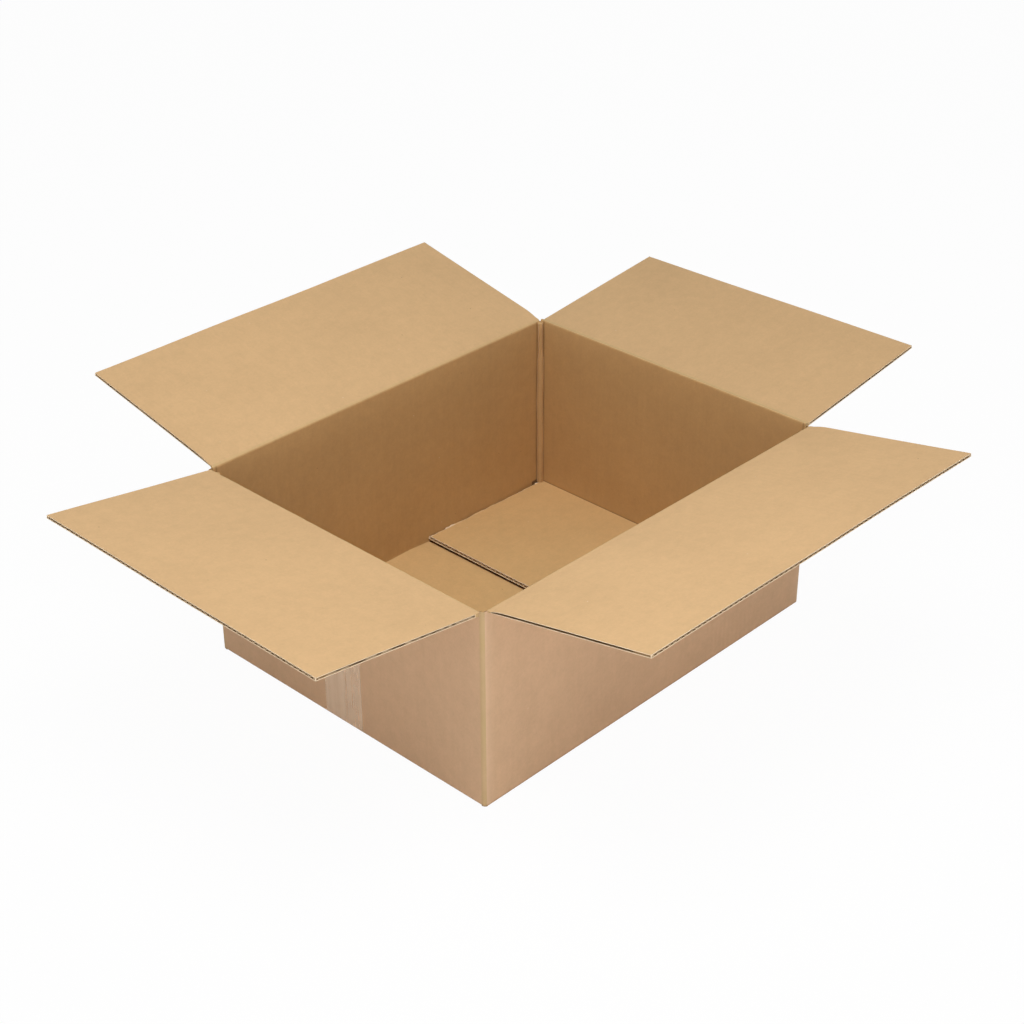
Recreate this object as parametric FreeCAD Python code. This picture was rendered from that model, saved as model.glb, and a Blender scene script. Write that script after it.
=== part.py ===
"""Open corrugated carton: one folded blank, four top flaps on their creases, and the seam tape.

Frame: X along the long walls, Y across, +Z up, origin under the middle of the base.
Lengths are in millimetres.
"""
import FreeCAD, Part
import math
import os

V = FreeCAD.Vector

# Overall size of the folded carton, outside the walls.
carton_length = 438.0
carton_width = 346.0
long_crease_height = 194.5

# Board: one wall of single-wall corrugated board.
board = 3.0
liner = 0.35
medium = 0.35
flute_pitch = 6.35
flute_wide_share = 0.70
flute_narrow_share = 0.16
flute_depth = 20.0
edge_groove_depth = 1.6
edge_groove_start = 9.0

# Folds: outer radius of each upright fold and bottom fold, and the crushed band inside a fold.
upright_fold_radius = 3.5
bottom_fold_radius = 3.5
fold_band = 4.0

# Clearances.
mitre_gap = 0.3
fold_back_gap = 0.3
layer_gap = 0.3
top_meeting_gap = 4.0
bottom_meeting_gap = 1.0
bottom_side_play = 1.2
slot_overcut = 0.3

# How far each top flap's ends stand in from the carton's outer corners (the slots).
front_slot_left = 5.4
front_slot_right = 3.4
back_slot_left = 4.8
back_slot_right = 3.4
left_slot_front = 4.7
left_slot_back = 3.4
right_slot_front = 6.4
right_slot_back = 3.6
bottom_slot = 3.6

# Rest angles of the top flaps, from straight up and outwards.
front_rest_angle = 78.5
back_rest_angle = 78.3
left_rest_angle = 81.6
right_rest_angle = 83.2

# Inner bottom flaps: their free ends spring up from the outer ones.
inner_bottom_lift = 1.4

# Glued lap that closes the blank, inside the front wall beside the right corner.
lap_width = 34.0
lap_end_margin = 6.0
lap_end_taper = 8.0

# Seam tape under the base and up both end walls.
tape_width = 48.0
tape_thickness = 0.2
tape_rise = 96.0
tape_shift = 2.0
tape_bend_radius = 3.5

# Derived levels and faces.
half_length = carton_length / 2.0
half_width = carton_width / 2.0
pivot_out = fold_back_gap / 2.0
mitre_offset = mitre_gap / 2.0 * math.sqrt(2.0)
base_level = tape_thickness
inner_base_level = base_level + board + layer_gap
short_crease_height = long_crease_height - board - layer_gap
flap_depth = half_width + pivot_out - top_meeting_gap / 2.0
bottom_flap_depth = half_width - bottom_meeting_gap / 2.0
corner_top = short_crease_height - pivot_out - mitre_offset - board - slot_overcut
corner_foot = base_level + board / 2.0
mitre_top_drop = pivot_out + mitre_offset


def prism(points, direction):
    """Extrude a closed flat outline of points along a vector."""
    outline = Part.makePolygon(points + [points[0]])
    return Part.Face(outline).extrude(direction)


def box_between(x0, x1, y0, y1, z0, z1):
    """Box between two corners."""
    return Part.makeBox(x1 - x0, y1 - y0, z1 - z0, V(x0, y0, z0))


def wall_outline(z):
    """Outer outline of the four walls, with rounded upright folds."""
    r = upright_fold_radius
    hx = half_length
    hy = half_width
    q = r * (1.0 - math.sqrt(0.5))
    edges = []
    edges.append(Part.LineSegment(V(-hx + r, -hy, z), V(hx - r, -hy, z)))
    edges.append(Part.Arc(V(hx - r, -hy, z), V(hx - q, -hy + q, z), V(hx, -hy + r, z)))
    edges.append(Part.LineSegment(V(hx, -hy + r, z), V(hx, hy - r, z)))
    edges.append(Part.Arc(V(hx, hy - r, z), V(hx - q, hy - q, z), V(hx - r, hy, z)))
    edges.append(Part.LineSegment(V(hx - r, hy, z), V(-hx + r, hy, z)))
    edges.append(Part.Arc(V(-hx + r, hy, z), V(-hx + q, hy - q, z), V(-hx, hy - r, z)))
    edges.append(Part.LineSegment(V(-hx, hy - r, z), V(-hx, -hy + r, z)))
    edges.append(Part.Arc(V(-hx, -hy + r, z), V(-hx + q, -hy + q, z), V(-hx + r, -hy, z)))
    return Part.Wire([edge.toShape() for edge in edges])


def inner_outline_points(z):
    """Inner outline of the walls, with the crushed band across each upright fold."""
    hx = half_length - board
    hy = half_width - board
    c = fold_band
    corners = [(-hx + c, -hy), (hx - c, -hy), (hx, -hy + c), (hx, hy - c)]
    corners += [(hx - c, hy), (-hx + c, hy), (-hx, hy - c), (-hx, -hy + c)]
    return [V(x, y, z) for x, y in corners]


def wall_tube(z0, z1):
    """The four walls between two levels."""
    outer = Part.Face(wall_outline(z0)).extrude(V(0, 0, z1 - z0))
    inner = prism(inner_outline_points(z0 - 1.0), V(0, 0, z1 - z0 + 2.0))
    return outer.cut(inner)


def flute_cells(start, end, face_low, face_high):
    """Flat outlines (along, through) of the open cells between the liners of a cut edge."""
    low = face_low + liner
    high = face_high - liner
    wide = flute_pitch * flute_wide_share / 2.0
    narrow = flute_pitch * flute_narrow_share / 2.0
    room = end - start - 2.0 * (wide + edge_groove_depth + liner)
    count = int(room / (flute_pitch / 2.0)) + 1
    first = (start + end) / 2.0 - (count - 1) * flute_pitch / 4.0
    cells = []
    for index in range(count):
        centre = first + index * flute_pitch / 2.0
        if index % 2 == 0:
            cells.append([(centre - wide, high), (centre + wide, high),
                          (centre + narrow, low + medium), (centre - narrow, low + medium)])
        else:
            cells.append([(centre - wide, low), (centre + wide, low),
                          (centre + narrow, high - medium), (centre - narrow, high - medium)])
    return cells


def fold_profile(reach, level, lift, top):
    """Section of a wall turning in to its bottom flap, in (outward, up) from the wall's outer face.

    reach is the flap's depth from the outer face, level its underside, lift how far its free
    end stands above that, and top how high the wall part of the section goes.
    """
    r = bottom_fold_radius
    slope = math.atan2(lift, reach - r)
    rise = board / math.cos(slope)
    q = r * (1.0 - math.sqrt(0.5))
    slide = board * math.sin(slope)
    free_low = (-reach + slide, level + lift)
    free_high = (-reach, level + lift + board * math.cos(slope))
    inner_corner = (-board, level + rise + (board - r) * math.tan(slope))
    return {
        "start": (0.0, top),
        "bend_start": (0.0, level + r),
        "bend_mid": (-q, level + q),
        "bend_end": (-r, level),
        "free_low": free_low,
        "free_high": free_high,
        "inner_corner": inner_corner,
        "inner_top": (-board, top),
    }


def folded_flap(profile, place, along):
    """Solid of a fold section: place maps (outward, up) to the carton, along is its length."""
    p = {name: place(*point) for name, point in profile.items()}
    edges = [
        Part.LineSegment(p["start"], p["bend_start"]),
        Part.Arc(p["bend_start"], p["bend_mid"], p["bend_end"]),
        Part.LineSegment(p["bend_end"], p["free_low"]),
        Part.LineSegment(p["free_low"], p["free_high"]),
        Part.LineSegment(p["free_high"], p["inner_corner"]),
        Part.LineSegment(p["inner_corner"], p["inner_top"]),
        Part.LineSegment(p["inner_top"], p["start"]),
    ]
    wire = Part.Wire([edge.toShape() for edge in edges])
    return Part.Face(wire).extrude(along)


def outer_bottom_flap(side):
    """Long outer flap under the base, on the front (-1) or back (+1) wall."""
    top = base_level + bottom_fold_radius + board
    profile = fold_profile(bottom_flap_depth, base_level, 0.0, top)
    x0 = -half_length + bottom_slot
    x1 = half_length - bottom_slot

    def place(out, up):
        return V(x0, side * (half_width + out), up)

    return folded_flap(profile, place, V(x1 - x0, 0, 0))


def inner_bottom_flap(side):
    """Short inner flap on top of the outer ones, on the left (-1) or right (+1) wall."""
    top = inner_base_level + bottom_fold_radius + board
    lift = inner_bottom_lift
    profile = fold_profile(bottom_flap_depth, inner_base_level, lift, top)
    y0 = -half_width + board + bottom_side_play
    y1 = half_width - board - bottom_side_play

    def place(out, up):
        return V(side * (half_length + out), y0, up)

    flap = folded_flap(profile, place, V(0, y1 - y0, 0))
    slope = math.atan2(lift, bottom_flap_depth - bottom_fold_radius)
    reach_x = half_length - bottom_flap_depth
    run = V(side * math.cos(slope), 0, -math.sin(slope))
    through = V(side * math.sin(slope), 0, math.cos(slope))
    root = V(side * reach_x, 0, inner_base_level + lift) + through * (board * (math.cos(slope) - 1.0))
    cutters = []
    for cell in flute_cells(y0, y1, 0.0, board):
        points = []
        for along, depth in cell:
            points.append(root + V(0, along, 0) + through * depth - run * 2.0)
        cutters.append(prism(points, run * (flute_depth + 2.0)))
    return flap.cut(cutters)


def mitre_cutter(start, end, height, place):
    """Everything above the sloping top of one wall, between its slots."""
    tip = height - mitre_top_drop
    reach = board + 1.0
    over = long_crease_height + board
    section = [(1.0, tip + 1.0), (-reach, tip - reach), (-reach, over), (1.0, over)]
    points = [place(start, out, up) for out, up in section]
    return prism(points, place(end, 0, 0) - place(start, 0, 0))


def on_front(along, out, up):
    return V(along, -half_width - out, up)


def on_back(along, out, up):
    return V(along, half_width + out, up)


def on_left(along, out, up):
    return V(-half_length - out, along, up)


def on_right(along, out, up):
    return V(half_length + out, along, up)


def corner_cutter(side_x, side_y, slot_x, slot_y):
    """The slot at one top corner: everything above corner_top beyond both flaps' ends."""
    clear = 2.0
    xs = sorted([side_x * (half_length - slot_x), side_x * (half_length + clear)])
    ys = sorted([side_y * (half_width - slot_y), side_y * (half_width + clear)])
    return box_between(xs[0], xs[1], ys[0], ys[1], corner_top, long_crease_height + clear)


def glued_lap():
    """Lap of the blank, turned round the right front corner and glued inside the front wall."""
    x1 = half_length - board
    x0 = x1 - lap_width
    y = -half_width + board
    low = inner_base_level + board + lap_end_margin
    high = corner_top - lap_end_margin
    points = [
        V(x1, y, low),
        V(x1, y, high),
        V(x0, y, high - lap_end_taper),
        V(x0, y, low + lap_end_taper),
    ]
    return prism(points, V(0, board, 0))


def make_box_body():
    """Walls, four bottom flaps and the glued lap: one folded and glued blank."""
    walls = wall_tube(base_level + bottom_fold_radius, long_crease_height)
    foot = wall_tube(corner_foot, base_level + bottom_fold_radius)
    keep = []
    for side_x in (-1, 1):
        for side_y in (-1, 1):
            xs = sorted([side_x * (half_length - bottom_slot), side_x * (half_length + 1.0)])
            ys = sorted([side_y * (half_width - bottom_slot), side_y * (half_width + 1.0)])
            keep.append(box_between(xs[0], xs[1], ys[0], ys[1], 0.0, base_level + 2.0 * board))
    feet = [foot.common(block) for block in keep]
    body = walls.multiFuse(feet)

    # The short walls stop at their own fold, which is one board higher than the long ones.
    for side in (-1, 1):
        xs = sorted([side * (half_length - board - 1.0), side * (half_length + 1.0)])
        y1 = half_width - board - bottom_side_play
        gap_box = box_between(xs[0], xs[1], -y1, y1, 0.0, inner_base_level + bottom_fold_radius)
        body = body.cut(gap_box)

    # Sloping wall tops, the crushed side of each crease.
    cutters = [
        mitre_cutter(-half_length + front_slot_left, half_length - front_slot_right,
                     long_crease_height, on_front),
        mitre_cutter(-half_length + back_slot_left, half_length - back_slot_right,
                     long_crease_height, on_back),
        mitre_cutter(-half_width + left_slot_front, half_width - left_slot_back,
                     short_crease_height, on_left),
        mitre_cutter(-half_width + right_slot_front, half_width - right_slot_back,
                     short_crease_height, on_right),
        corner_cutter(-1, -1, front_slot_left, left_slot_front),
        corner_cutter(1, -1, front_slot_right, right_slot_front),
        corner_cutter(1, 1, back_slot_right, right_slot_back),
        corner_cutter(-1, 1, back_slot_left, left_slot_back),
        box_between(-half_length + board, half_length - board, -half_width + board,
                    half_width - board, corner_top, long_crease_height + 1.0),
    ]
    body = body.cut(cutters)
    folds = [outer_bottom_flap(-1), outer_bottom_flap(1), inner_bottom_flap(-1), inner_bottom_flap(1)]
    body = body.multiFuse(folds + [glued_lap()])
    return body.removeSplitter()


def make_top_flap(start, end, angle, pivot, outward, along):
    """One top flap at its rest angle.

    start and end are along the crease, pivot is on the hinge line, outward is the wall's outer
    normal, and along is the crease's direction.
    """
    up = V(0, 0, 1)
    a = math.radians(angle)
    run = outward * math.sin(a) + up * math.cos(a)
    through = up * math.sin(a) - outward * math.cos(a)
    low = pivot_out
    high = pivot_out + board

    def place(along_by, run_by, through_by):
        return pivot + along * along_by + run * run_by + through * through_by

    section = [
        (mitre_offset + low, low),
        (mitre_offset + high, high),
        (flap_depth, high),
        (flap_depth, low),
    ]
    flap = prism([place(start, r, t) for r, t in section], along * (end - start))
    cutters = []
    for cell in flute_cells(start, end, low, high):
        points = [place(x, flap_depth - flute_depth, t) for x, t in cell]
        cutters.append(prism(points, run * (flute_depth + 2.0)))
    for edge in (start, end):
        inward = edge_groove_depth if edge == start else -edge_groove_depth
        spill = -1.0 if edge == start else 1.0
        groove = [
            place(edge + spill, edge_groove_start, low + liner),
            place(edge + spill, edge_groove_start, high - liner - medium),
            place(edge + inward, edge_groove_start, high - liner - medium),
            place(edge + inward, edge_groove_start, low + liner),
        ]
        cutters.append(prism(groove, run * (flap_depth + 2.0 - edge_groove_start)))
    return flap.cut(cutters)


def make_front_top_flap():
    pivot = V(0, -half_width - pivot_out, long_crease_height)
    start = -half_length + front_slot_left
    end = half_length - front_slot_right
    return make_top_flap(start, end, front_rest_angle, pivot, V(0, -1, 0), V(1, 0, 0))


def make_back_top_flap():
    pivot = V(0, half_width + pivot_out, long_crease_height)
    start = -half_length + back_slot_left
    end = half_length - back_slot_right
    return make_top_flap(start, end, back_rest_angle, pivot, V(0, 1, 0), V(1, 0, 0))


def make_left_top_flap():
    pivot = V(-half_length - pivot_out, 0, short_crease_height)
    start = -half_width + left_slot_front
    end = half_width - left_slot_back
    return make_top_flap(start, end, left_rest_angle, pivot, V(-1, 0, 0), V(0, 1, 0))


def make_right_top_flap():
    pivot = V(half_length + pivot_out, 0, short_crease_height)
    start = -half_width + right_slot_front
    end = half_width - right_slot_back
    return make_top_flap(start, end, right_rest_angle, pivot, V(1, 0, 0), V(0, 1, 0))


def make_bottom_tape():
    """One strip of tape along the bottom seam, bent up both end walls."""
    y0 = tape_shift - tape_width / 2.0

    def strip(offset, top):
        r = tape_bend_radius + offset
        hx = half_length + offset
        z = tape_thickness - offset
        q = r * (1.0 - math.sqrt(0.5))
        return [
            Part.LineSegment(V(-hx, y0, top), V(-hx, y0, z + r)),
            Part.Arc(V(-hx, y0, z + r), V(-hx + q, y0, z + q), V(-hx + r, y0, z)),
            Part.LineSegment(V(-hx + r, y0, z), V(hx - r, y0, z)),
            Part.Arc(V(hx - r, y0, z), V(hx - q, y0, z + q), V(hx, y0, z + r)),
            Part.LineSegment(V(hx, y0, z + r), V(hx, y0, top)),
        ]

    inside = strip(0.0, tape_rise)
    outside = strip(tape_thickness, tape_rise)
    ends = [
        Part.LineSegment(V(-half_length - tape_thickness, y0, tape_rise), V(-half_length, y0, tape_rise)),
        Part.LineSegment(V(half_length, y0, tape_rise), V(half_length + tape_thickness, y0, tape_rise)),
    ]
    shapes = [edge.toShape() for edge in inside + outside + ends]
    wire = Part.Wire(Part.__sortEdges__(shapes))
    return Part.Face(wire).extrude(V(0, tape_width, 0))


nodes = {
    "box_body": make_box_body,
    "front_top_flap": make_front_top_flap,
    "back_top_flap": make_back_top_flap,
    "left_top_flap": make_left_top_flap,
    "right_top_flap": make_right_top_flap,
    "bottom_tape": make_bottom_tape,
}

os.makedirs("parts", exist_ok=True)
for name, make in nodes.items():
    shape = make()
    if shape.ShapeType == "Compound" and len(shape.Solids) == 1:
        shape = shape.Solids[0]
    shape.exportStep("parts/" + name + ".step")
    print(name, shape.isValid(), len(shape.Solids), round(shape.Volume, 1))
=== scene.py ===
"""Looks of the open corrugated carton: the folded blank, its four top flaps and the seam tape."""
import math

import bmesh
import bpy
from mathutils import Matrix, Vector, noise


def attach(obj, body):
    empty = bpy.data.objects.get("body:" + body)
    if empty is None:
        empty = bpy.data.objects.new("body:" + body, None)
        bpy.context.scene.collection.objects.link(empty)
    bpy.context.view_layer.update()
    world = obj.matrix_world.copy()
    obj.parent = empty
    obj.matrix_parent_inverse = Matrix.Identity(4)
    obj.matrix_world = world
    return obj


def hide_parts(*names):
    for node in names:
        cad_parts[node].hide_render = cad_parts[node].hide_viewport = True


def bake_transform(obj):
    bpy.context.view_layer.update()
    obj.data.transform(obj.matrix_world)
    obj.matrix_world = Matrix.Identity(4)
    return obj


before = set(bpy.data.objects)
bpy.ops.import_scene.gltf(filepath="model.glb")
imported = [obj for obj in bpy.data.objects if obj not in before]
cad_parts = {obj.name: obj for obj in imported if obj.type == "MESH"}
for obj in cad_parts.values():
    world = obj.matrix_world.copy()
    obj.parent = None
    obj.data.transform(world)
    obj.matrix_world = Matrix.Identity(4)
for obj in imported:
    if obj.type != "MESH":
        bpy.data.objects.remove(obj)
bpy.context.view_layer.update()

# Sizes of the carton, in metres, as the solids have them.
HALF_LENGTH = 0.219
HALF_WIDTH = 0.173
LONG_CREASE = 0.1945
SHORT_CREASE = 0.1912
BOARD = 0.003
LINER = 0.00035
FLUTE_PITCH = 0.00635
FOLD_RADIUS = 0.0035
BASE_LEVEL = 0.0002
INNER_BASE_LEVEL = 0.0035
COLUMN_TOP = 0.187538
COLUMN_FOOT = 0.0006
POST_TOP = 0.1964
EDGE_LIP = 0.0006
PIVOT_OUT = 0.00015
FLAP_DEPTH = 0.17115
CREASE_BAND = 0.00366
BOTTOM_DEPTH = 0.1725
INNER_LIFT = 0.0030
INNER_SIDE = 0.1688

# Where the walls between the slots start, along X for the long walls and along Y for the short ones.
WALL_START = {"front": -0.2136, "back": -0.2142, "left": -0.1683, "right": -0.1666}
POST_STEP = 0.0036
POST_SLOPE = 0.0020
OUTER_REACH = 0.0012
SHORT_FOLD_SAG = 0.0026
FREE_EDGE_SLANT = 0.0016
FREE_EDGE_POCKET = 0.014
FLAP_POCKET = 0.018
END_CHANNEL = 0.003
WALL_SPACING = 0.024

# The four top flaps: rest angle from upright, ends along the crease, how much they are twisted,
# how far the inner paper is puckered up (ridge) or crushed down (sunk) at the crease, how much of
# the channel at each end is closed by torn fluting, and the way out from the wall.
FLAPS = {}
for side, angle, start, end, twist, ridge, sunk, torn, out in (
        ("front", 78.5, -0.2156, 0.2136, 1.15, 0.0, 0.0016, (0.45, 0.15), (0, -1, 0)),
        ("back", 78.3, -0.2142, 0.2156, -0.65, 0.0, 0.0016, (0.45, 0.45), (0, 1, 0)),
        ("left", 81.6, -0.1683, 0.1696, -0.23, 0.0, 0.0, (1.0, 0.45), (-1, 0, 0)),
        ("right", 83.2, -0.1694, 0.1666, 1.23, 0.0034, 0.0, (0.45, 0.45), (1, 0, 0))):
    is_long = out[0] == 0
    FLAPS[side] = {"angle": angle, "start": start, "end": end, "twist": twist, "ridge": ridge, "sunk": sunk,
                   "torn": torn, "out": out, "along": (out[1], -out[0], 0),
                   "height": LONG_CREASE if is_long else SHORT_CREASE,
                   "half": HALF_WIDTH if is_long else HALF_LENGTH}


# Working by hand.

def put_down():
    """Object mode, with nothing selected."""
    if bpy.context.object and bpy.context.object.mode != "OBJECT":
        bpy.ops.object.mode_set(mode="OBJECT")
    bpy.ops.object.select_all(action="DESELECT")


def take_up(piece):
    put_down()
    piece.select_set(True)
    bpy.context.view_layer.objects.active = piece


def open_up(piece):
    take_up(piece)
    bpy.ops.object.mode_set(mode="EDIT")
    bpy.ops.mesh.select_all(action="DESELECT")


def pick(piece, kind, test):
    """Select faces (middle, normal), edges (middle, run) or vertices (place) that pass a test."""
    bpy.ops.mesh.select_mode(type=kind)
    bpy.ops.mesh.select_all(action="DESELECT")
    shape = bmesh.from_edit_mesh(piece.data)
    if kind == "FACE":
        for face in shape.faces:
            if test(face.calc_center_median(), face.normal):
                face.select = True
    elif kind == "EDGE":
        for edge in shape.edges:
            a, b = edge.verts[0].co, edge.verts[1].co
            if test((a + b) / 2, b - a):
                edge.select = True
    else:
        for vertex in shape.verts:
            if test(vertex.co):
                vertex.select = True
    shape.select_flush_mode()
    bmesh.update_edit_mesh(piece.data)


def push(value):
    """Extrude what is selected by a distance."""
    bpy.ops.mesh.extrude_region_move(TRANSFORM_OT_translate={"value": value})


def slide(value):
    bpy.ops.transform.translate(value=value)


def cut(piece, axis, places, test=None):
    """Saw the picked faces through at several places along an axis."""
    normal = [0, 0, 0]
    normal[axis] = 1
    for place in places:
        if test is None:
            bpy.ops.mesh.select_mode(type="FACE")
            bpy.ops.mesh.select_all(action="SELECT")
        else:
            pick(piece, "FACE", test)
        point = [0, 0, 0]
        point[axis] = place
        bpy.ops.mesh.bisect(plane_co=point, plane_no=normal, use_fill=False, threshold=1e-6)


def even_steps(low, high, size):
    count = max(1, round((high - low) / size))
    return [low + (high - low) * i / count for i in range(1, count)]


def start_block(name, low, high):
    """A block between two corners, with its place in its mesh."""
    put_down()
    low, high = Vector(low), Vector(high)
    bpy.ops.mesh.primitive_cube_add(size=1, location=(low + high) / 2, scale=high - low)
    block = bpy.context.object
    block.name = name
    block.data.name = name
    bpy.ops.object.transform_apply(location=True, rotation=True, scale=True)
    return block


def finish_with(piece, kind, **settings):
    """Add one modifier and apply it."""
    take_up(piece)
    modifier = piece.modifiers.new(kind.lower(), kind)
    for name, value in settings.items():
        setattr(modifier, name, value)
    bpy.ops.object.modifier_apply(modifier=modifier.name)


def set_in_place(piece, matrix):
    """Turn and move a piece, then leave its place in its mesh."""
    take_up(piece)
    piece.matrix_world = matrix
    bpy.ops.object.transform_apply(location=True, rotation=True, scale=True)


def join_up(pieces, name):
    put_down()
    for piece in pieces:
        piece.select_set(True)
    bpy.context.view_layer.objects.active = pieces[0]
    bpy.ops.object.join()
    pieces[0].name = name
    pieces[0].data.name = name
    return pieces[0]


def round_off(piece, degrees=35):
    take_up(piece)
    bpy.ops.object.shade_smooth_by_angle(angle=math.radians(degrees))


def finish_faces(piece, names, choose):
    """Give each face the finish, one of these names, that choose(middle, normal) says."""
    piece.data.materials.clear()
    for name in names:
        piece.data.materials.append(FINISHES[name])
    for face in piece.data.polygons:
        face.material_index = names.index(choose(face.center, face.normal))


def map_board(piece, place):
    """Lay the board's own map on a piece: across the flutes, then along them, in metres."""
    layer = piece.data.uv_layers.get("board_run") or piece.data.uv_layers.new(name="board_run")
    for face in piece.data.polygons:
        for corner in face.loop_indices:
            spot = piece.data.vertices[piece.data.loops[corner].vertex_index].co
            layer.data[corner].uv = place(spot, face)


def wander(spot, size, strength, seed):
    """A small smooth offset that changes over the piece."""
    return noise.noise(Vector(spot) / size + Vector((seed * 7.3, seed * 3.1, seed))) * strength


# Finishes.

def add_node(tree, kind, place, **values):
    node = tree.nodes.new(kind)
    node.location = place
    for name, value in values.items():
        setattr(node, name, value)
    return node


def feed(node, values):
    """Set a node's inputs to values, or link them to other nodes' outputs."""
    for label, value in values.items():
        if isinstance(value, bpy.types.NodeSocket):
            node.id_data.links.new(value, node.inputs[label])
        else:
            node.inputs[label].default_value = value


def effect(name, inputs, outputs):
    """An empty effect group with named inputs and outputs."""
    tree = bpy.data.node_groups.new(name, "ShaderNodeTree")
    for label, kind, value in inputs:
        socket = tree.interface.new_socket(label, in_out="INPUT", socket_type=kind)
        if value is not None:
            socket.default_value = value
    for label, kind in outputs:
        tree.interface.new_socket(label, in_out="OUTPUT", socket_type=kind)
    start = add_node(tree, "NodeGroupInput", (-900, 0))
    end = add_node(tree, "NodeGroupOutput", (900, 0))
    return tree, start, end


def stretched_noise(tree, vector, scale, size, detail, place):
    """A noise texture on a vector that is scaled by its own amount each way."""
    mapping = add_node(tree, "ShaderNodeMapping", place)
    grain = add_node(tree, "ShaderNodeTexNoise", (place[0] + 200, place[1]))
    feed(mapping, {"Scale": scale, "Vector": vector})
    feed(grain, {"Scale": size, "Detail": detail, "Roughness": 0.55, "Vector": mapping.outputs["Vector"]})
    return grain.outputs["Fac"]


def spread(tree, value, low, high, new_low, new_high, place):
    """Map a value from one range to another."""
    node = add_node(tree, "ShaderNodeMapRange", place)
    feed(node, {"From Min": low, "From Max": high, "To Min": new_low, "To Max": new_high, "Value": value})
    return node.outputs["Result"]


def work_out(tree, kind, first, second, place, clamp=False):
    node = add_node(tree, "ShaderNodeMath", place, operation=kind, use_clamp=clamp)
    for socket, value in zip(node.inputs, (first, second)):
        if isinstance(value, (int, float)):
            socket.default_value = value
        elif value is not None:
            tree.links.new(value, socket)
    return node.outputs[0]


def tint(tree, factor, first, second, place, blend="MIX"):
    node = add_node(tree, "ShaderNodeMix", place, data_type="RGBA", blend_type=blend)
    for name, value in (("Factor_Float", factor), ("A_Color", first), ("B_Color", second)):
        socket = next(s for s in node.inputs if s.identifier == name)
        if isinstance(value, (int, float, tuple)):
            socket.default_value = value
        else:
            tree.links.new(value, socket)
    return next(s for s in node.outputs if s.identifier == "Result_Color")


def make_paper_grain():
    """Kraft paper: cloudy pulp, fine fibres along the run, a few pale and dark flecks."""
    tree, start, end = effect(
        "paper_grain",
        [("Place", "NodeSocketVector", None), ("Run", "NodeSocketVector", None),
         ("Paper", "NodeSocketColor", (0.6, 0.4, 0.2, 1)), ("Cloud", "NodeSocketFloat", 0.05),
         ("Fibre", "NodeSocketFloat", 0.05), ("Flecks", "NodeSocketFloat", 0.3)],
        [("Colour", "NodeSocketColor"), ("Height", "NodeSocketFloat")])
    place, run = start.outputs["Place"], start.outputs["Run"]
    broad = stretched_noise(tree, place, (1, 1, 1), 11.0, 4.0, (-700, 300))
    cloud = stretched_noise(tree, place, (1, 1, 1), 95.0, 5.0, (-700, 100))
    pulp = stretched_noise(tree, place, (1, 1, 1), 420.0, 6.0, (-700, -100))
    fibre = stretched_noise(tree, run, (1.0, 0.12, 1.0), 1500.0, 4.0, (-700, -300))
    streak = stretched_noise(tree, run, (1.0, 0.03, 1.0), 210.0, 3.0, (-700, -420))
    mixed = work_out(tree, "ADD", work_out(tree, "ADD", broad, cloud, (-250, 250)), pulp, (-100, 250))
    centred = work_out(tree, "SUBTRACT", mixed, 1.5, (0, 250))
    shade = work_out(tree, "MULTIPLY", centred, start.outputs["Cloud"], (150, 250))
    lines = work_out(tree, "ADD", fibre, work_out(tree, "MULTIPLY", streak, 1.4, (-400, -420)), (-300, -300))
    thread = work_out(tree, "MULTIPLY", work_out(tree, "SUBTRACT", lines, 1.2, (-250, -250)),
                      start.outputs["Fibre"], (-100, -250))
    level = work_out(tree, "ADD", work_out(tree, "ADD", shade, thread, (250, 0)), 1.0, (350, 0))
    grey = add_node(tree, "ShaderNodeCombineColor", (450, 0))
    for name in ("Red", "Green", "Blue"):
        tree.links.new(level, grey.inputs[name])
    coloured = tint(tree, 1.0, start.outputs["Paper"], grey.outputs["Color"], (550, 0), "MULTIPLY")
    spots = add_node(tree, "ShaderNodeTexVoronoi", (-500, -520))
    feed(spots, {"Scale": 150.0, "Vector": place})
    split = add_node(tree, "ShaderNodeSeparateColor", (-300, -620))
    tree.links.new(spots.outputs["Color"], split.inputs["Color"])
    near = work_out(tree, "LESS_THAN", spots.outputs["Distance"], 0.085, (-300, -480))
    dark_pick = work_out(tree, "GREATER_THAN", split.outputs["Red"], 0.985, (-150, -560))
    pale_pick = work_out(tree, "LESS_THAN", split.outputs["Red"], 0.012, (-150, -700))
    dark = work_out(tree, "MULTIPLY", work_out(tree, "MULTIPLY", near, dark_pick, (0, -520)),
                    start.outputs["Flecks"], (150, -520))
    pale = work_out(tree, "MULTIPLY", work_out(tree, "MULTIPLY", near, pale_pick, (0, -700)),
                    start.outputs["Flecks"], (150, -700))
    darkened = tint(tree, dark, coloured, (0.20, 0.12, 0.06, 1), (680, -100))
    lightened = tint(tree, pale, darkened, (0.75, 0.62, 0.45, 1), (780, -200))
    tree.links.new(lightened, end.inputs["Colour"])
    rough = work_out(tree, "ADD", work_out(tree, "MULTIPLY", pulp, 0.6, (450, -250)),
                     work_out(tree, "MULTIPLY", fibre, 0.4, (450, -400)), (600, -300))
    tree.links.new(rough, end.inputs["Height"])
    return tree


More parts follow.
